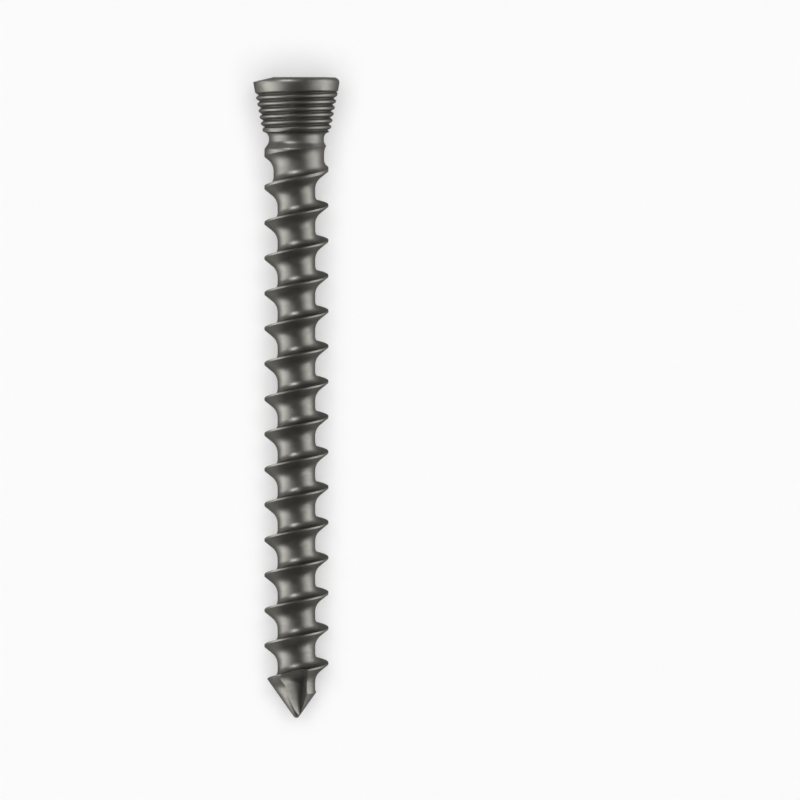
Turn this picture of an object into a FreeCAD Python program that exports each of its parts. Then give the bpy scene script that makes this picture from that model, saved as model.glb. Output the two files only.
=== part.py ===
"""Cancellous locking screw, lying on a flat surface as it comes to rest.

One turned and milled piece: a tapered head with a fine thread and a six-point star recess, a short
neck, a coarse deep thread along the whole shank and a fluted conical point.

The screw is modelled upright, tip at the origin and head up, and then laid down. Upright, -Y is
the side that faced the viewer. Lying, the head points to +Y and that side is on top.
Millimetres and degrees.
"""
import FreeCAD, Part
import math
import os

# Driving dimensions
THREAD_DIAMETER = 5.0
CORE_DIAMETER = 2.95
OVERALL_LENGTH = 50.0

PITCH = 2.75
CREST_WIDTH = 0.15           # flat land on top of the ridge
HEAD_SIDE_FLANK = 6.0        # the steep flank's angle from a plane across the axis
TIP_SIDE_FLANK = 38.0        # the sloping flank's angle from the same plane
ROOT_BREAK = 0.5             # reach of the flat that stands for the sloping flank's root radius
LAST_CREST = 4.34            # height of the last whole crest's upper edge, on the +X side
RUN_OUT_TURNS = 1.35         # turns in which the groove rises to nothing below the neck
GROOVE_STOP = 1.7            # from the head's underside down to where it has risen to nothing

HEAD_LENGTH = 4.25
HEAD_BASE_DIAMETER = 5.3
HEAD_TAPER = 10.6            # half angle of the head's cone
HEAD_EDGE_RADIUS = 0.4
RAMP_ANGLE = 12.5            # slope of the flat on top of the head, on the -X side
RAMP_START = 1.75            # distance of the flat's upper edge from the axis

LOCKING_PITCH = 0.5          # the fine thread on the head's cone
LOCKING_DEPTH = 0.24
LOCKING_HALF_ANGLE = 36.0    # half angle of its groove, which stands for its rounded form
LOCKING_STOP = 1.12          # from the head's top down to the end of its groove, on the +X side
LOCKING_RUN_OUT = 120.0      # degrees in which the groove rises to nothing, half of them past +X

NECK_DIAMETER = 4.3
NECK_LENGTH = 0.95           # from the head's underside to the shoulder
SHOULDER_ANGLE = 45.0

POINT_HALF_ANGLE = 35.3
POINT_RADIUS = 0.26

FLUTE_COUNT = 2
FLUTE_SLOPE = 7.6            # angle of the flute's bottom line to the axis
FLUTE_DEPTH_AT_TIP = 0.04    # distance of the bottom line from the axis, level with the tip
FLUTE_OFFSET = 0.3           # distance of the bottom line from the middle plane
FLUTE_BACK_ANGLE = 40.0      # rise of the side away from the cutting edge
FLUTE_RAKE_ANGLE = 58.0      # rise of the cutting side
FLUTE_FLOOR_RADIUS = 0.8
FLUTE_LENGTH = 3.0           # from the tip to where the bottom line turns out of the shank
FLUTE_END_SLOPE = 52.0       # its angle to the axis from there on

STAR_POINTS = 6
STAR_TIP_DIAMETER = 4.3
STAR_WAIST_DIAMETER = 2.8
STAR_TIP_RADIUS = 0.12
STAR_WAIST_RADIUS = 0.5
STAR_DEPTH = 2.0
DRILL_HALF_ANGLE = 59.0      # the drill that opens the recess

CLEARANCE = 0.1              # how far a cutter stands proud of the face that it cuts
FINE_CLEARANCE = 0.03        # the same for the fine thread, whose turns are close together
OVERRUN_TURNS = 0.25         # how far a groove's cutter goes on once it has left the metal

# How finely the thread's faces follow the helix
SPANS_PER_TURN = 12

ORIGIN = FreeCAD.Vector()
AXIS = FreeCAD.Vector(0, 0, 1)


def tan(angle):
    return math.tan(math.radians(angle))


def cos(angle):
    return math.cos(math.radians(angle))


def sin(angle):
    return math.sin(math.radians(angle))


# Sizes worked out from the driving ones
THREAD_RADIUS = THREAD_DIAMETER / 2
CORE_RADIUS = CORE_DIAMETER / 2
GROOVE_DEPTH = THREAD_RADIUS - CORE_RADIUS
NECK_RADIUS = NECK_DIAMETER / 2
HEAD_BASE_RADIUS = HEAD_BASE_DIAMETER / 2
HEAD_BASE = OVERALL_LENGTH - HEAD_LENGTH
HEAD_CORNER_RADIUS = HEAD_BASE_RADIUS + HEAD_LENGTH * tan(HEAD_TAPER)
HEAD_RADIUS = HEAD_CORNER_RADIUS + HEAD_EDGE_RADIUS * (1 - tan(HEAD_TAPER) - 1 / cos(HEAD_TAPER))
LOCKING_END = OVERALL_LENGTH - LOCKING_STOP
GROOVE_END = HEAD_BASE - GROOVE_STOP
SHOULDER_TOP = HEAD_BASE - NECK_LENGTH
SHOULDER_BASE = SHOULDER_TOP - (THREAD_RADIUS - NECK_RADIUS) / tan(SHOULDER_ANGLE)
CONE_START_RADIUS = POINT_RADIUS * cos(POINT_HALF_ANGLE)
CONE_START = POINT_RADIUS * (1 - sin(POINT_HALF_ANGLE))
CONE_END = CONE_START + (THREAD_RADIUS - CONE_START_RADIUS) / tan(POINT_HALF_ANGLE)


def point(x, z):
    """A point of an outline in the plane through the axis, x being its distance from the axis."""
    return FreeCAD.Vector(x, 0, z)


def line(start, end):
    return Part.LineSegment(start, end).toShape()


def arc(start, middle, end):
    return Part.Arc(start, middle, end).toShape()


def rounded(before, corner, after, radius):
    """Start, middle and end of the arc of this radius that rounds off a corner."""
    one = (before - corner).normalize()
    two = (after - corner).normalize()
    half = one.getAngle(two) / 2
    reach = radius / math.tan(half)
    middle = (one + two).normalize() * (radius / math.sin(half) - radius)
    return corner + one * reach, corner + middle, corner + two * reach


def outline(corners):
    """A closed wire from (point, radius) pairs, each corner rounded where its radius isn't 0."""
    stretches = []
    for i, (corner, radius) in enumerate(corners):
        before, after = corners[i - 1][0], corners[(i + 1) % len(corners)][0]
        stretches.append(rounded(before, corner, after, radius) if radius else (corner,))
    edges = []
    for stretch, following in zip(stretches, stretches[1:] + stretches[:1]):
        if len(stretch) == 3:
            edges.append(arc(*stretch))
        edges.append(line(stretch[-1], following[0]))
    return Part.Wire(edges)


def turned_blank():
    """The blank as it leaves the lathe: point, shank, shoulder, neck and head."""
    tip = point(0, 0)
    half = (90 - POINT_HALF_ANGLE) / 2
    tip_middle = point(POINT_RADIUS * sin(half), POINT_RADIUS * (1 - cos(half)))
    tip_side = point(CONE_START_RADIUS, CONE_START)
    cone_end = point(THREAD_RADIUS, CONE_END)
    shoulder = point(THREAD_RADIUS, SHOULDER_BASE)
    neck_base = point(NECK_RADIUS, SHOULDER_TOP)
    fillet = HEAD_BASE_RADIUS - NECK_RADIUS
    neck_top = point(NECK_RADIUS, HEAD_BASE - fillet)
    neck_middle = point(HEAD_BASE_RADIUS - fillet * cos(45), HEAD_BASE - fillet * (1 - sin(45)))
    head_base = point(HEAD_BASE_RADIUS, HEAD_BASE)
    top = point(0, OVERALL_LENGTH)
    edge = rounded(head_base, point(HEAD_CORNER_RADIUS, OVERALL_LENGTH), top, HEAD_EDGE_RADIUS)
    profile = Part.Wire([
        arc(tip, tip_middle, tip_side),
        line(tip_side, cone_end),
        line(cone_end, shoulder),
        line(shoulder, neck_base),
        line(neck_base, neck_top),
        arc(neck_top, neck_middle, head_base),
        line(head_base, edge[0]),
        arc(*edge),
        line(edge[2], top),
        line(top, tip),
    ])
    return Part.Face(profile).revolve(ORIGIN, AXIS, 360)


def groove_section():
    """Corners of the groove between two ridges, heights being from the lower ridge's upper edge."""
    upper = PITCH - CREST_WIDTH
    outside = THREAD_RADIUS + CLEARANCE
    root = point(CORE_RADIUS, upper - GROOVE_DEPTH * tan(TIP_SIDE_FLANK))
    flank = point(outside, upper + CLEARANCE * tan(TIP_SIDE_FLANK))
    return [
        flank,
        root + (flank - root).normalize() * ROOT_BREAK,
        root - AXIS * ROOT_BREAK,
        point(CORE_RADIUS, GROOVE_DEPTH * tan(HEAD_SIDE_FLANK)),
        point(outside, -CLEARANCE * tan(HEAD_SIDE_FLANK)),
    ]


def helical_strips(one, two, angles, rise, lift):
    """The faces that a section's side sweeps along a helix, one for each turn, and its two ends.

    Each face is a cubic spline in the direction of the helix. A uniform cubic spline passes inside
    its poles, so the poles stand further out than the helix by the factor that brings it back.
    """
    step = angles[1] - angles[0]
    outward = 3 / (2 + cos(step))

    def pole(corner, angle):
        radius = (corner.x + lift(angle)) * outward
        return FreeCAD.Vector(radius * cos(angle), radius * sin(angle), corner.z + rise(angle))

    spans = len(angles) - 3
    surface = Part.BSplineSurface()
    surface.buildFromPolesMultsKnots(
        [[pole(corner, angle) for angle in angles] for corner in (one, two)],
        [2, 2], [4] + [1] * (spans - 1) + [4], [0, 1], list(range(spans + 1)), False, False, 1, 3)
    faces = []
    for start in range(0, spans, SPANS_PER_TURN):
        turn = surface.copy()
        turn.segment(0, 1, start, min(start + SPANS_PER_TURN, spans))
        faces.append(turn.toShape())
    return faces, [surface.vIso(end).toShape() for end in (0, spans)]


def helical_cutter(section, start, end, rise, lift):
    """A solid that follows a helix from one angle to another, its section always on the axis."""
    steps = math.ceil((end - start) / 360 * SPANS_PER_TURN)
    angles = [start + (end - start) * i / steps for i in range(steps + 1)]
    faces, first_rim, last_rim = [], [], []
    for one, two in zip(section, section[1:] + section[:1]):
        strips, (first, last) = helical_strips(one, two, angles, rise, lift)
        faces += strips
        first_rim.append(first)
        last_rim.append(last)
    faces += [Part.Face(Part.Wire(rim)) for rim in (first_rim, last_rim)]
    skin = Part.makeCompound(faces)
    skin.sewShape()
    cutter = Part.Solid(skin.Shells[0])
    if cutter.Volume < 0:
        cutter.reverse()
    return cutter


def thread_groove():
    """The cutter of the coarse thread, from beyond the point to where it rises out of the shank."""

    def rise(angle):
        return LAST_CREST + PITCH * angle / 360

    def angle_at(height):
        return (height - LAST_CREST) / PITCH * 360

    zero = angle_at(GROOVE_END)
    full = zero - RUN_OUT_TURNS * 360

    def lift(angle):
        return GROOVE_DEPTH * max(0.0, (angle - full) / (zero - full))

    core_meets_cone = CONE_START + (CORE_RADIUS - CONE_START_RADIUS) / tan(POINT_HALF_ANGLE)
    start = angle_at(core_meets_cone - PITCH + CREST_WIDTH)
    return helical_cutter(groove_section(), start, zero + OVERRUN_TURNS * 360, rise, lift)


def locking_groove():
    """The cutter of the fine thread, which follows the head's cone and rises out of it at the top."""
    half_width = (LOCKING_DEPTH + FINE_CLEARANCE) * tan(LOCKING_HALF_ANGLE)
    outside = HEAD_BASE_RADIUS + FINE_CLEARANCE
    section = [
        point(outside + half_width * tan(HEAD_TAPER), half_width),
        point(HEAD_BASE_RADIUS - LOCKING_DEPTH, 0),
        point(outside - half_width * tan(HEAD_TAPER), -half_width),
    ]
    zero = LOCKING_RUN_OUT / 2

    def rise(angle):
        return LOCKING_END + LOCKING_PITCH * angle / 360

    def lift(angle):
        run_out = LOCKING_DEPTH * max(0.0, (angle + zero) / LOCKING_RUN_OUT)
        return (rise(angle) - HEAD_BASE) * tan(HEAD_TAPER) + run_out

    start = (HEAD_BASE - LOCKING_PITCH / 2 - LOCKING_END) / LOCKING_PITCH * 360
    return helical_cutter(section, start, zero + OVERRUN_TURNS * 360, rise, lift)


def prism(wire, direction):
    return Part.Face(wire).extrude(direction)


def star_recess():
    """The drive recess: a star-shaped hole with the cone that its drill leaves below."""
    step = 180 / STAR_POINTS
    corners = []
    for i in range(STAR_POINTS):
        for radius, rounding, turn in ((STAR_TIP_DIAMETER / 2, STAR_TIP_RADIUS, 2 * i),
                                       (STAR_WAIST_DIAMETER / 2, STAR_WAIST_RADIUS, 2 * i + 1)):
            angle = 90 + turn * step
            corners.append((FreeCAD.Vector(radius * cos(angle), radius * sin(angle), 0), rounding))
    star = prism(outline(corners), AXIS * (STAR_DEPTH + CLEARANCE))
    drill_radius = STAR_WAIST_DIAMETER / 2
    drill_depth = drill_radius / tan(DRILL_HALF_ANGLE)
    drill = Part.makeCone(0, drill_radius, drill_depth, AXIS * -drill_depth)
    recess = star.fuse(drill)
    recess.translate(AXIS * (OVERALL_LENGTH - STAR_DEPTH))
    return recess


def head_ramp():
    """The sloping flat on top of the head, cut by a wedge that is wider than the head."""
    reach = 2 * HEAD_RADIUS
    drop = reach * tan(RAMP_ANGLE)
    corners = [
        point(-RAMP_START, OVERALL_LENGTH),
        point(-RAMP_START - reach, OVERALL_LENGTH - drop),
        point(-RAMP_START - reach, OVERALL_LENGTH + drop),
        point(-RAMP_START, OVERALL_LENGTH + drop),
    ]
    wire = Part.makePolygon(corners + corners[:1])
    wire.translate(FreeCAD.Vector(0, -reach, 0))
    return prism(wire, FreeCAD.Vector(0, 2 * reach, 0))


def flute_section():
    """The flute across its length: cutting wall, rounded floor and back wall.

    The two walls would meet at the origin. The floor's arc touches the back wall and ends level,
    in a sharp corner, on the cutting wall.
    """
    back, cutting = FLUTE_BACK_ANGLE, FLUTE_RAKE_ANGLE
    share = (tan(cutting) * sin(back) + 1 - cos(back)) / (sin(back) + tan(cutting) * cos(back))
    across = sin(back) - share * cos(back)
    out = cos(back) + share * sin(back)

    def floor(slope):
        return FreeCAD.Vector(across - sin(slope), cos(slope) - out, 0) * FLUTE_FLOOR_RADIUS

    reach = THREAD_DIAMETER
    cutting_end = FreeCAD.Vector(reach, -reach * tan(cutting), 0)
    back_end = FreeCAD.Vector(-reach, -reach * tan(back), 0)
    return Part.Wire([
        line(cutting_end, floor(0)),
        arc(floor(0), floor(back / 2), floor(back)),
        line(floor(back), back_end),
        line(back_end, cutting_end),
    ])


def flute_channel(base, slope, length):
    """The flute's section carried along a line through base, at a slope to the axis."""
    along = FreeCAD.Vector(0, -sin(slope), cos(slope))
    wire = flute_section()
    wire.translate(base - along * length)
    return prism(wire, along * 2 * length)


def flutes():
    """The cutting flutes of the point, whose bottoms run along the shank and then turn out of it."""
    depth = FLUTE_DEPTH_AT_TIP + FLUTE_LENGTH * tan(FLUTE_SLOPE)
    base = FreeCAD.Vector(FLUTE_OFFSET, -depth, FLUTE_LENGTH)
    shallow, steep = (flute_channel(base, slope, 2 * FLUTE_LENGTH)
                      for slope in (FLUTE_SLOPE, FLUTE_END_SLOPE))
    first = shallow.common(steep)
    cutters = []
    for i in range(FLUTE_COUNT):
        cutter = first.copy()
        cutter.rotate(ORIGIN, AXIS, 360 / FLUTE_COUNT * i)
        cutters.append(cutter)
    return cutters


def laid_down(screw):
    """The screw lying on z = 0, on the head's rim and on the last whole crest, centred on y."""
    lowest_crest = LAST_CREST + PITCH / 4
    rim = OVERALL_LENGTH - HEAD_EDGE_RADIUS
    tilt = math.degrees(math.atan((HEAD_RADIUS - THREAD_RADIUS) / (rim - lowest_crest)))
    lying = screw.copy()
    lying.rotate(ORIGIN, FreeCAD.Vector(1, 0, 0), tilt - 90)
    middle = OVERALL_LENGTH / 2 * cos(tilt)
    lying.translate(FreeCAD.Vector(0, -middle, HEAD_RADIUS * cos(tilt) - rim * sin(tilt)))
    return lying


def main():
    screw = turned_blank().cut(thread_groove()).cut(locking_groove())
    screw = screw.cut([star_recess(), head_ramp()] + flutes())
    screw = laid_down(screw.Solids[0])
    os.makedirs("parts", exist_ok=True)
    screw.exportStep("parts/locking_screw.step")


main()
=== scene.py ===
"""Cancellous locking screw on a pale studio floor, seen from straight above.

The screw is worked out upright in millimetres, tip at the origin and head up, with -Y towards the
viewer, and is laid down in the row frame at the end, where it stands for the CAD solid.
"""
import bpy
import bmesh
import numpy as np
from mathutils import Matrix, Vector


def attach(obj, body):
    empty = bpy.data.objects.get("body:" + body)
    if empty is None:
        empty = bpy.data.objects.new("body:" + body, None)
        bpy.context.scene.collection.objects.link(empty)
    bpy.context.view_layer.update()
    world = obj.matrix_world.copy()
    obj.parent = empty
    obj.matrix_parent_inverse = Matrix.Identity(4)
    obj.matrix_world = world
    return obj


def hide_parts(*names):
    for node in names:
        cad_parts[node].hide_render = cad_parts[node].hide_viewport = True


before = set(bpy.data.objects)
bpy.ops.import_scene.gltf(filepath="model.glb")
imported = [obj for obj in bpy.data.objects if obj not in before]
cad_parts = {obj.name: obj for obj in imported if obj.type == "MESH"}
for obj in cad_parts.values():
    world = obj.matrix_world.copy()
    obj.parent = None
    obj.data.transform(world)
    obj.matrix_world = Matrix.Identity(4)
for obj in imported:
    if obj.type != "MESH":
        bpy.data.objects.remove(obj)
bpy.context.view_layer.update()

MM = 0.001

# Shank and coarse thread
THREAD_RADIUS = 2.5
CORE_RADIUS = 1.47
OVERALL_LENGTH = 50.0
PITCH = 2.75
CREST_WIDTH = 0.15
HEAD_SIDE_FLANK = 6.0           # the flanks' angles from a plane across the axis
TIP_SIDE_FLANK = 38.0
HEAD_SIDE_ROOT_RADIUS = 0.65
TIP_SIDE_ROOT_RADIUS = 1.23
CREST_ROUNDING = 0.05
LAST_CREST = 4.34               # height of the last whole crest's upper edge, on the +X side
THREAD_START = -0.9             # height at which the groove's cutter starts, below the tip
RUN_OUT_TURNS = 1.35            # turns in which the groove rises to nothing
GROOVE_END = 44.05              # height at which it has done so
OVERRUN = 60.0

# Head, neck and locking thread
HEAD_BASE = 45.75
HEAD_BASE_RADIUS = 2.65
HEAD_TAPER = 10.6
HEAD_EDGE_RADIUS = 0.4
HEAD_RADIUS = 3.363
NECK_RADIUS = 2.15
SHOULDER_TOP = 44.92
SHOULDER_BASE = 44.42
NECK_ROOT_RADIUS = 0.5
SHOULDER_ROUNDING = 0.25
LOCKING_PITCH = 0.5
LOCKING_FLANK = 36.0            # half angle of its groove
LOCKING_CREST_RADIUS = 0.15
LOCKING_ROOT_RADIUS = 0.02
LOCKING_GROOVE = 48.88          # height of the groove's upper end, on the +X side
LOCKING_FULL_FROM = -98.0       # angle at which it has its full depth, at the head's base
LOCKING_RUN_IN = 30.0           # degrees in which it sinks in below that
LOCKING_RUN_OUT = 120.0         # degrees in which it rises out at the top, half of them past +X
RAMP_ANGLE = 12.5               # slope of the flat on top of the head
RAMP_START = 1.75               # distance of the flat's upper edge from the axis

# Both grooves' cutters stand proud of the metal and slope down to it beside their crests
PROUD = 0.012
PROUD_SLOPE = 20.0

# Point and flutes
POINT_HALF_ANGLE = 35.3
POINT_RADIUS = 0.26
FLUTE_SLOPE = 5.8               # angle of a flute's bottom line to the axis
FLUTE_DEPTH_AT_TIP = 0.14       # its distance from the axis, level with the tip
FLUTE_OFFSET = 0.3              # its distance from the middle plane
FLUTE_BACK_ANGLE = 40.0
FLUTE_RAKE_ANGLE = 58.0
FLUTE_FLOOR_SLOPE = 2.0         # slope of the floor where it meets the cutting wall
FLUTE_ROOT_AT_TIP = 0.1         # radius of the floor, which grows up the shank
FLUTE_ROOT_WIDENING = 0.65
FLUTE_ROOT_LARGEST = 2.1
FLUTE_START = -0.5
FLUTE_LENGTH = 3.0              # height at which the bottom line turns out of the shank
FLUTE_END_SLOPE = 52.0
FLUTE_TURN_RADIUS = 1.0

# Drive recess
STAR_POINTS = 6
STAR_TIP_RADIUS = 2.15
STAR_WAIST_RADIUS = 1.4
STAR_TIP_ROUNDING = 0.12
STAR_WAIST_ROUNDING = 0.5
STAR_DEPTH = 2.0
STAR_EDGE_BREAK = 0.05
DRILL_RADIUS = 1.38
DRILL_HALF_ANGLE = 59.0

# How the screw lies: on the head's rim and on the last whole crest
TILT = np.degrees(np.arctan((HEAD_RADIUS - THREAD_RADIUS)
                            / (OVERALL_LENGTH - HEAD_EDGE_RADIUS - LAST_CREST - PITCH / 4)))

# Steps a turn along the threads and around the blank
STEPS_PER_TURN = 96
BLANK_STEPS = 192

# Edges that bend by more than this many degrees stay sharp
SHARP_EDGE = 35

# The photograph: its side, its scale, and the column and row of the screw's axis and tip
PICTURE = 800
PIXELS_PER_MM = 12.806
AXIS_COLUMN = 296.4
TIP_ROW = 717.8

# The studio: half the floor's side in metres, how much the floor glows, the world's pale horizon
# and dark overhead, and the height of the view direction at which the one has become the other
FLOOR_REACH = 4.0
FLOOR_GLOW = 0.34
HORIZON = 0.5
OVERHEAD = 0.09
HORIZON_TOP = 0.08


def tan(angle):
    return np.tan(np.radians(angle))


def cos(angle):
    return np.cos(np.radians(angle))


def sin(angle):
    return np.sin(np.radians(angle))


def corner_arc(before, corner, after, radius, parts):
    """Points along the arc that rounds a corner off.

    Its centre is on the line that halves the corner, at radius / sin(half the corner's angle) from
    it. The points turn about that centre at even angles, from where one straight touches the arc to
    where the other does.
    """
    before, corner, after = (np.asarray(p, float) for p in (before, corner, after))
    one = (before - corner) / np.linalg.norm(before - corner)
    two = (after - corner) / np.linalg.norm(after - corner)
    half = np.arccos(np.clip(one @ two, -1, 1)) / 2
    centre = corner + (one + two) / np.linalg.norm(one + two) * radius / np.sin(half)
    start = corner + one * radius / np.tan(half) - centre
    end = corner + two * radius / np.tan(half) - centre
    sweep = np.arccos(np.clip(start @ end / radius ** 2, -1, 1))
    way = np.linspace(0, 1, parts + 1)[:, None]
    return centre + (start * np.sin((1 - way) * sweep) + end * np.sin(way * sweep)) / np.sin(sweep)


def rounded(corners, parts=8):
    """A closed outline from (x, y, radius) corners: an arc where the radius isn't 0."""
    points = np.array([c[:2] for c in corners], float)
    stretches = []
    for i, (x, y, radius) in enumerate(corners):
        if radius:
            stretches.append(corner_arc(points[i - 1], points[i], points[(i + 1) % len(points)],
                                        radius, parts))
        else:
            stretches.append(points[i:i + 1])
    return np.concatenate(stretches)


def solid_from_rings(name, rings):
    """A closed solid through rings of points, shaped (rings, points a ring, 3).

    Point j of ring i is joined to point j of ring i + 1, and the first and last rings are closed by
    one face each. A ring of no size is merged to a single point.
    """
    count, around = rings.shape[:2]
    index = np.arange(count * around).reshape(count, around)
    after = np.roll(index, -1, 1)
    quads = np.stack([index[:-1], after[:-1], after[1:], index[1:]], -1).reshape(-1, 4)
    faces = quads.tolist() + [index[0].tolist(), index[-1].tolist()]
    mesh = bpy.data.meshes.new(name)
    mesh.from_pydata((rings.reshape(-1, 3) * MM).tolist(), [], faces)
    tidy = bmesh.new()
    tidy.from_mesh(mesh)
    bmesh.ops.remove_doubles(tidy, verts=tidy.verts, dist=1e-8)
    bmesh.ops.recalc_face_normals(tidy, faces=tidy.faces)
    tidy.to_mesh(mesh)
    tidy.free()
    piece = bpy.data.objects.new(name, mesh)
    bpy.context.scene.collection.objects.link(piece)
    return piece


def turned_blank():
    """The blank as it leaves the lathe: an outline (distance from the axis, height), turned.

    The outline goes from the point's ball along its cone, up the shank at the thread's radius, over
    the shoulder to the neck, round the fillet under the head, along the head's cone and over its
    rounded edge to the axis.
    """
    half = np.linspace(0, 90 - POINT_HALF_ANGLE, 9)
    tip = np.stack([POINT_RADIUS * sin(half), POINT_RADIUS * (1 - cos(half))], -1)
    cone_end = tip[-1, 1] + (THREAD_RADIUS - tip[-1, 0]) / tan(POINT_HALF_ANGLE)
    fillet = HEAD_BASE_RADIUS - NECK_RADIUS
    turn = np.linspace(0, 90, 13)
    neck = np.stack([HEAD_BASE_RADIUS - fillet * cos(turn),
                     HEAD_BASE - fillet + fillet * sin(turn)], -1)
    corner = (HEAD_BASE_RADIUS + (OVERALL_LENGTH - HEAD_BASE) * tan(HEAD_TAPER), OVERALL_LENGTH)
    edge = corner_arc((HEAD_BASE_RADIUS, HEAD_BASE), corner, (0, OVERALL_LENGTH),
                      HEAD_EDGE_RADIUS, 16)
    shoulder = [(THREAD_RADIUS, cone_end), (THREAD_RADIUS, SHOULDER_BASE),
                (NECK_RADIUS, SHOULDER_TOP), (NECK_RADIUS, HEAD_BASE)]
    outline = np.concatenate([
        tip,
        shoulder[:1],
        corner_arc(*shoulder[:3], SHOULDER_ROUNDING, 8),
        corner_arc(*shoulder[1:], NECK_ROOT_RADIUS, 12),
        neck,
        edge,
        [(0, OVERALL_LENGTH)],
    ])
    angles = np.arange(BLANK_STEPS) / BLANK_STEPS * 360
    radius, height = outline[:, :1], outline[:, 1:]
    rings = np.stack([radius * cos(angles), radius * sin(angles), height + 0 * angles], -1)
    return solid_from_rings("screw", rings)


def helical_solid(name, section, start, stop, rise, lift):
    """The solid that a closed section sweeps along a helix, from one angle to another.

    At each angle the section stands in the plane through the axis, lift(angle) further out and
    rise(angle) higher than it is drawn.
    """
    steps = int(round((stop - start) / 360 * STEPS_PER_TURN))
    angles = np.linspace(start, stop, steps + 1)[:, None]
    radius = section[:, 0] + lift(angles)
    rings = np.stack([radius * cos(angles), radius * sin(angles), section[:, 1] + rise(angles)], -1)
    return solid_from_rings(name, rings)


def thread_groove():
    """The coarse thread's groove, lifted out of the shank evenly over its last turns.

    Its section goes in along the ridge's steep flank, up the core and out along the sloping flank,
    with both roots and both crest edges rounded. Its cutter goes on for OVERRUN degrees once it has
    left the metal.
    """
    depth = THREAD_RADIUS - CORE_RADIUS
    mouth = PITCH - CREST_WIDTH
    beside = PROUD / tan(PROUD_SLOPE)
    section = rounded([
        (PROUD, -beside, 0),
        (0, 0, CREST_ROUNDING),
        (-depth, depth * tan(HEAD_SIDE_FLANK), HEAD_SIDE_ROOT_RADIUS),
        (-depth, mouth - depth * tan(TIP_SIDE_FLANK), TIP_SIDE_ROOT_RADIUS),
        (0, mouth, CREST_ROUNDING),
        (PROUD, mouth + beside, 0),
    ]) + (THREAD_RADIUS, 0)

    def angle_at(height):
        return (height - LAST_CREST) / PITCH * 360

    out = angle_at(GROOVE_END)
    full = out - RUN_OUT_TURNS * 360
    return helical_solid(
        "thread_groove", section, angle_at(THREAD_START), out + OVERRUN,
        lambda angle: LAST_CREST + PITCH * angle / 360,
        lambda angle: depth * np.maximum(0, (angle - full) / (out - full)))


def locking_groove():
    """The fine groove on the head's cone: sharp at its root, rounded where it meets the crests.

    Its section is a V with both mouth corners rounded, and leans with the cone. The groove sinks in
    over LOCKING_RUN_IN degrees at the head's base, and is lifted out of the cone over
    LOCKING_RUN_OUT degrees at the top. Its cutter starts and ends a little beyond those.
    """
    apex = LOCKING_PITCH / 2 / tan(LOCKING_FLANK)
    depth = apex - LOCKING_CREST_RADIUS * (1 / sin(LOCKING_FLANK) - 1)
    mouth = depth * tan(LOCKING_FLANK)
    beside = PROUD / tan(PROUD_SLOPE)
    section = rounded([
        (PROUD, -mouth - beside, 0),
        (0, -mouth, LOCKING_CREST_RADIUS),
        (-depth, 0, LOCKING_ROOT_RADIUS),
        (0, mouth, LOCKING_CREST_RADIUS),
        (PROUD, mouth + beside, 0),
    ])
    section[:, 0] += HEAD_BASE_RADIUS + section[:, 1] * tan(HEAD_TAPER)
    full = LOCKING_FULL_FROM - 360 * np.floor((LOCKING_GROOVE - HEAD_BASE) / LOCKING_PITCH)
    end = LOCKING_RUN_OUT / 2

    def rise(angle):
        return LOCKING_GROOVE + LOCKING_PITCH * angle / 360

    def lift(angle):
        sinking = np.maximum(0, (full - angle) / LOCKING_RUN_IN)
        leaving = np.maximum(0, (angle + end) / LOCKING_RUN_OUT)
        return (rise(angle) - HEAD_BASE) * tan(HEAD_TAPER) + depth * (leaving + sinking)

    return helical_solid("locking_groove", section, full - 40, end + 20, rise, lift)


def prism(name, outline, start, end, side, out):
    """An outline (side, out) drawn at start and carried straight to end."""
    ring = outline[:, :1] * np.asarray(side) + outline[:, 1:] * np.asarray(out)
    return solid_from_rings(name, np.stack([ring + start, ring + end]))


def flute_section(root):
    """A flute across: its cutting wall, the arc of its floor and its back wall, as (x, out).

    The walls would meet at the bottom line. The arc touches the back wall and ends on the cutting
    wall with a slope of a, so its centre is at root x (sin b - s cos b, cos b + s sin b), b being
    the back wall's angle, c the cutting wall's, and
    s = (tan c (sin b - sin a) + cos a - cos b) / (sin b + tan c cos b).
    """
    back, cutting, start = FLUTE_BACK_ANGLE, FLUTE_RAKE_ANGLE, FLUTE_FLOOR_SLOPE
    share = ((tan(cutting) * (sin(back) - sin(start)) + cos(start) - cos(back))
             / (sin(back) + tan(cutting) * cos(back)))
    centre = root * np.array([sin(back) - share * cos(back), cos(back) + share * sin(back)])
    slope = np.linspace(start, back, 13)[:, None]
    reach = 2 * THREAD_RADIUS
    return np.concatenate([
        [(reach, reach * tan(cutting))],
        centre - root * np.hstack([sin(slope), cos(slope)]),
        [(-reach, reach * tan(back))],
    ]) + (FLUTE_OFFSET, 0)


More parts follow.
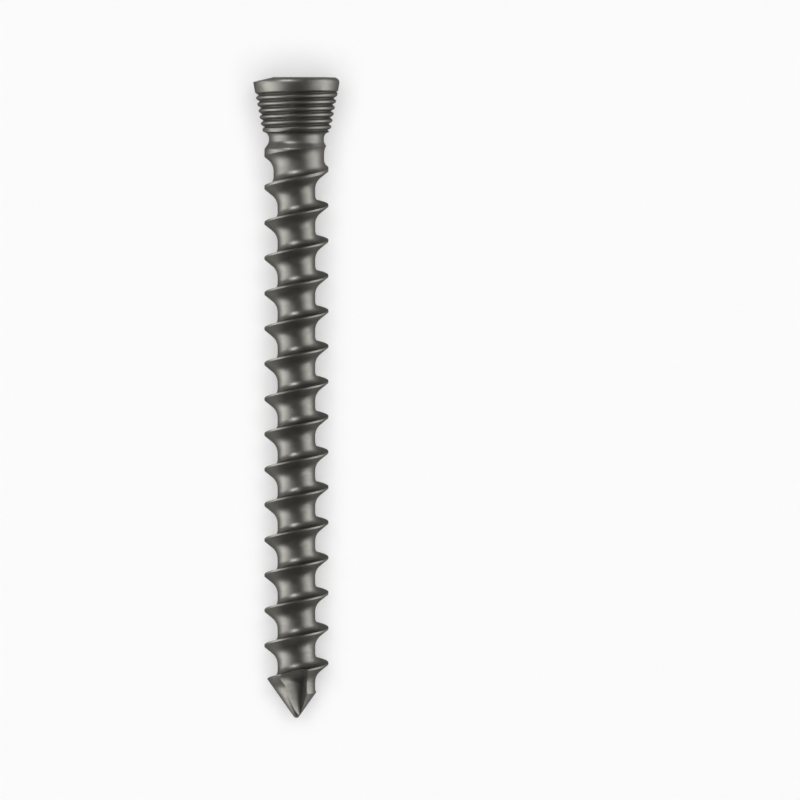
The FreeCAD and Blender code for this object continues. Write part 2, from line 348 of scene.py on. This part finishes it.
def flutes():
    """The point's cutting flutes, whose bottom lines run up the shank and turn out of it.

    Each ring is the section at one height, carried out by the bottom line's distance from the
    axis, which is a straight line, an arc and a steeper straight line. The floor's radius grows
    evenly with the height up to its largest value.
    """
    turn = FLUTE_DEPTH_AT_TIP + FLUTE_LENGTH * tan(FLUTE_SLOPE)
    straight = np.arange(FLUTE_START, FLUTE_LENGTH - FLUTE_TURN_RADIUS / 2, 0.1)
    bottom = np.concatenate([
        np.stack([straight, FLUTE_DEPTH_AT_TIP + straight * tan(FLUTE_SLOPE)], -1),
        corner_arc((0, FLUTE_DEPTH_AT_TIP), (FLUTE_LENGTH, turn),
                   (FLUTE_LENGTH + 1, turn + tan(FLUTE_END_SLOPE)), FLUTE_TURN_RADIUS, 16),
        [(FLUTE_LENGTH + 2, turn + 2 * tan(FLUTE_END_SLOPE))],
    ])
    rings = []
    for height, depth in bottom:
        section = flute_section(np.clip(FLUTE_ROOT_AT_TIP + FLUTE_ROOT_WIDENING * height,
                                        FLUTE_ROOT_AT_TIP, FLUTE_ROOT_LARGEST))
        across, out = section.T
        rings.append(np.stack([across, -out - depth, np.full(len(section), height)], -1))
    rings = np.stack(rings)
    return [solid_from_rings("flute_near", rings),
            solid_from_rings("flute_far", rings * (-1, -1, 1))]


def star_recess():
    """The star-shaped hole, its mouth's edge broken, over the cone that its drill leaves."""
    corners = []
    for i in range(STAR_POINTS):
        for radius, rounding, turn in ((STAR_TIP_RADIUS, STAR_TIP_ROUNDING, 2 * i),
                                       (STAR_WAIST_RADIUS, STAR_WAIST_ROUNDING, 2 * i + 1)):
            angle = 90 + turn * 180 / STAR_POINTS
            corners.append((radius * cos(angle), radius * sin(angle), rounding))
    star = rounded(corners, 6)
    wider = star * (1 + STAR_EDGE_BREAK / STAR_WAIST_RADIUS)
    floor = OVERALL_LENGTH - STAR_DEPTH
    levels = ((star, floor), (star, OVERALL_LENGTH - STAR_EDGE_BREAK),
              (wider, OVERALL_LENGTH + 0.001), (wider, OVERALL_LENGTH + 0.2))
    rings = np.stack([np.column_stack([loop, np.full(len(loop), level)]) for loop, level in levels])
    star_part = solid_from_rings("star", rings)
    angles = np.arange(STEPS_PER_TURN) / STEPS_PER_TURN * 360
    outline = np.array([(0, floor - DRILL_RADIUS / tan(DRILL_HALF_ANGLE)), (DRILL_RADIUS, floor),
                        (DRILL_RADIUS, floor + 0.5)])
    rings = np.stack([outline[:, :1] * cos(angles), outline[:, :1] * sin(angles),
                      outline[:, 1:] + 0 * angles], -1)
    return [star_part, solid_from_rings("drill", rings)]


def head_ramp():
    """The wedge that cuts the sloping flat on top of the head."""
    reach = 2 * HEAD_RADIUS
    drop = reach * tan(RAMP_ANGLE)
    outline = np.array([(-RAMP_START, 0), (-RAMP_START - reach, -drop), (-RAMP_START - reach, drop),
                        (-RAMP_START, drop)])
    start = np.array([0, -reach, OVERALL_LENGTH])
    return prism("ramp", outline, start, start + (0, 2 * reach, 0), (1, 0, 0), (0, 0, 1))


def cut(piece, cutters):
    """Cuts the cutters out of the piece, keeps the result as its own mesh and removes them."""
    for cutter in cutters:
        step = piece.modifiers.new(cutter.name, "BOOLEAN")
        step.object = cutter
        step.operation = "DIFFERENCE"
        step.solver = "MANIFOLD"
    shapes = bpy.context.evaluated_depsgraph_get()
    made = bpy.data.meshes.new_from_object(piece.evaluated_get(shapes))
    piece.modifiers.clear()
    piece.data = made
    for cutter in cutters:
        bpy.data.objects.remove(cutter)


def lay_down(piece):
    """Turns the upright screw onto its side and onto the floor, in its mesh, and returns the turn.

    The height is the one at which the head's rim touches the floor once the axis is tilted.
    """
    middle = OVERALL_LENGTH / 2 * cos(TILT)
    rim = OVERALL_LENGTH - HEAD_EDGE_RADIUS
    height = HEAD_RADIUS * cos(TILT) - rim * sin(TILT)
    place = Matrix(((1, 0, 0, 0),
                    (0, sin(TILT), cos(TILT), -middle * MM),
                    (0, -cos(TILT), sin(TILT), height * MM),
                    (0, 0, 0, 1)))
    piece.data.transform(place)
    return place


def linear(colour):
    """An sRGB hex colour as linear numbers."""
    value = np.array([int(colour[i:i + 2], 16) for i in (1, 3, 5)]) / 255
    value = np.where(value <= 0.04045, value / 12.92, ((value + 0.055) / 1.055) ** 2.4)
    return (*value, 1.0)


def add(tree, kind, settings=None, links=None):
    """Adds a node: settings are its properties or unlinked inputs, links are what feeds it."""
    node = tree.nodes.new(kind)
    for name, value in (settings or {}).items():
        if isinstance(name, str) and hasattr(node, name):
            setattr(node, name, value)
        else:
            node.inputs[name].default_value = value
    for name, socket in (links or {}).items():
        tree.links.new(socket, node.inputs[name])
    return node


def fresh_material(name):
    material = bpy.data.materials.new(name)
    material.use_nodes = True
    material.node_tree.nodes.clear()
    return material, material.node_tree


def anodised_titanium():
    """Titanium alloy, turned and milled, then anodised grey.

    To the eye it is a dark satin metal: broad soft highlights along the cylinders, hair-fine
    turning marks across the axis that break them up a little, a faint cloudiness of the
    oxide film, and edges that stay dark where the film is seen at a slant.
    """
    material, tree = fresh_material("anodised_titanium")
    place = add(tree, "ShaderNodeTexCoord").outputs["Object"]
    # Turning marks: the real feed is about 0.05 mm a turn, drawn here at 0.16 mm so that it shows
    along = add(tree, "ShaderNodeMapping", {"Scale": (1 / 2.2e-3, 1 / 0.16e-3, 1 / 2.2e-3)},
                {"Vector": place})
    marks = add(tree, "ShaderNodeTexNoise", {"Scale": 1.0, "Detail": 3.0, "Roughness": 0.6},
                {"Vector": along.outputs["Vector"]}).outputs["Fac"]
    # Oxide film: clouds about 2 mm across
    clouds = add(tree, "ShaderNodeTexNoise", {"Scale": 1 / 2.0e-3, "Detail": 2.0, "Roughness": 0.5},
                 {"Vector": place}).outputs["Fac"]
    # Etched grain of about 0.08 mm, which softens the highlights' edges
    grain = add(tree, "ShaderNodeTexNoise", {"Scale": 1 / 0.08e-3, "Detail": 2.0, "Roughness": 0.6},
                {"Vector": place}).outputs["Fac"]
    film = add(tree, "ShaderNodeValToRGB", {}, {"Fac": clouds})
    stops = film.color_ramp.elements
    stops[0].position, stops[0].color = 0.3, linear("#6B6A66")
    stops[1].position, stops[1].color = 0.7, linear("#74736E")
    satin = add(tree, "ShaderNodeMapRange",
                {"From Min": 0.3, "From Max": 0.7, "To Min": 0.41, "To Max": 0.49},
                {"Value": marks})
    # Marks 2 microns deep and grain of 0.8 microns
    scored = add(tree, "ShaderNodeBump", {"Strength": 1.0, "Distance": 2.0e-6}, {"Height": marks})
    etched = add(tree, "ShaderNodeBump", {"Strength": 1.0, "Distance": 0.8e-6},
                 {"Height": grain, "Normal": scored.outputs["Normal"]})
    metal = add(tree, "ShaderNodeBsdfPrincipled",
                {"Metallic": 1.0, "Specular Tint": (0.28, 0.28, 0.28, 1)},
                {"Base Color": film.outputs["Color"], "Roughness": satin.outputs["Result"],
                 "Normal": etched.outputs["Normal"]})
    add(tree, "ShaderNodeOutputMaterial", {}, {"Surface": metal.outputs["BSDF"]})
    return material


def floor_material():
    """Matt white acrylic, lit and glowing to a plain white, with the screw's shadow on it.

    Camera, reflections and clear things all see the glow. Reflections also see the sheet's gloss.
    """
    material, tree = fresh_material("matt_white_acrylic")
    path = add(tree, "ShaderNodeLightPath")
    seen = add(tree, "ShaderNodeMath", {"operation": "MAXIMUM"},
               {0: path.outputs["Is Camera Ray"], 1: path.outputs["Is Glossy Ray"]})
    seen = add(tree, "ShaderNodeMath", {"operation": "MAXIMUM"},
               {0: seen.outputs[0], 1: path.outputs["Is Transmission Ray"]})
    strength = add(tree, "ShaderNodeMath", {"operation": "MULTIPLY", 1: FLOOR_GLOW},
                   {0: seen.outputs[0]})
    gloss = add(tree, "ShaderNodeMath", {"operation": "MULTIPLY", 1: 0.5},
                {0: path.outputs["Is Glossy Ray"]})
    sheet = add(tree, "ShaderNodeBsdfPrincipled",
                {"Base Color": linear("#CFCFCF"), "Roughness": 0.08, "IOR": 1.49},
                {"Specular IOR Level": gloss.outputs[0]})
    glow = add(tree, "ShaderNodeEmission", {"Color": (1, 1, 1, 1)},
               {"Strength": strength.outputs[0]})
    both = add(tree, "ShaderNodeAddShader", {}, {0: sheet.outputs[0], 1: glow.outputs[0]})
    add(tree, "ShaderNodeOutputMaterial", {}, {"Surface": both.outputs[0]})
    return material


def make_floor():
    """A level square under the screw, about the origin."""
    corners = np.array([(-1, -1, 0), (1, -1, 0), (1, 1, 0), (-1, 1, 0)]) * FLOOR_REACH
    mesh = bpy.data.meshes.new("floor")
    mesh.from_pydata(corners.tolist(), [], [(0, 1, 2, 3)])
    floor = bpy.data.objects.new("floor", mesh)
    bpy.context.scene.collection.objects.link(floor)
    mesh.materials.append(floor_material())


def make_world():
    """A studio that is dark overhead and pale towards the horizon."""
    world = bpy.data.worlds.new("studio")
    bpy.context.scene.world = world
    world.use_nodes = True
    tree = world.node_tree
    tree.nodes.clear()
    direction = add(tree, "ShaderNodeTexCoord").outputs["Generated"]
    height = add(tree, "ShaderNodeSeparateXYZ", {}, {0: direction}).outputs["Z"]
    ramp = add(tree, "ShaderNodeValToRGB", {}, {0: height})
    stops = ramp.color_ramp.elements
    stops[0].position, stops[0].color = 0.0, (HORIZON, HORIZON, HORIZON, 1)
    stops[1].position, stops[1].color = HORIZON_TOP, (OVERHEAD, OVERHEAD, OVERHEAD, 1)
    sky = add(tree, "ShaderNodeBackground", {"Strength": 1.0}, {0: ramp.outputs[0]})
    add(tree, "ShaderNodeOutputWorld", {}, {0: sky.outputs[0]})


def softbox(name, place, target, width, height, radiance, for_metal=True):
    """A rectangular lamp of an even radiance, so its power is radiance x pi x area.

    The lamps for the metal are the ones that it mirrors, and they are kept off the floor. The other
    lights the floor and all matt things, and the metal doesn't mirror it.
    """
    lamp = bpy.data.lights.new(name, "AREA")
    lamp.shape = "RECTANGLE"
    lamp.size, lamp.size_y = width, height
    lamp.energy = radiance * np.pi * width * height
    piece = bpy.data.objects.new(name, lamp)
    bpy.context.scene.collection.objects.link(piece)
    piece.location = place
    piece.rotation_mode = "QUATERNION"
    piece.rotation_quaternion = (Vector(target) - Vector(place)).to_track_quat("-Z", "Y")
    piece.visible_camera = False
    piece.visible_glossy = for_metal
    piece.visible_diffuse = not for_metal


def make_camera(place):
    """A long lens that looks straight at the screw's axis and frames it as the photo does."""
    camera = bpy.data.cameras.new("camera")
    camera.lens = 1200
    camera.clip_end = 50
    piece = bpy.data.objects.new("camera", camera)
    bpy.context.scene.collection.objects.link(piece)
    across = PICTURE / PIXELS_PER_MM * MM
    distance = across * camera.lens / camera.sensor_width
    aim = Vector(((PICTURE / 2 - AXIS_COLUMN) / PIXELS_PER_MM * MM, 0,
                  (TIP_ROW - PICTURE / 2) / PIXELS_PER_MM * MM))
    stand = Matrix.Translation(aim) @ Matrix(((1, 0, 0, 0), (0, 0, -1, -distance),
                                              (0, 1, 0, 0), (0, 0, 0, 1)))
    piece.matrix_world = place @ stand
    bpy.context.scene.camera = piece


screw = turned_blank()
cut(screw, [thread_groove(), locking_groove(), *flutes(), *star_recess(), head_ramp()])
place = lay_down(screw)
screw.data.shade_smooth()
screw.data.set_sharp_from_angle(angle=np.radians(SHARP_EDGE))
screw.data.materials.clear()
screw.data.materials.append(anodised_titanium())
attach(screw, "root")
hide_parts("locking_screw")

make_floor()
make_world()
make_camera(place)

# Lamps: where they are, what they point at, their width, height and radiance. A bright strip low
# down and a weaker softbox above it on each side, a small one beyond the head, a large one overhead
softbox("strip_left", (-0.9, -0.3, 0.155), (0, -0.15, 0.15), 1.1, 0.3, 5.2)
softbox("softbox_left", (-0.9, -0.3, 0.62), (0, -0.15, 0.3), 1.1, 0.62, 2.6)
softbox("strip_right", (0.9, 0, 0.155), (0, 0, 0.15), 1.7, 0.3, 4.2)
softbox("softbox_right", (0.9, 0, 0.58), (0, 0, 0.3), 1.7, 0.54, 1.95)
softbox("softbox_head", (-0.38, 0.55, 0.67), (0, 0, 0), 0.3, 0.3, 19.5)
softbox("softbox_top", (0, 0, 1.5), (0, 0, 0), 1.5, 1.5, 3.8, for_metal=False)

scene = bpy.context.scene
scene.view_settings.view_transform = "Standard"
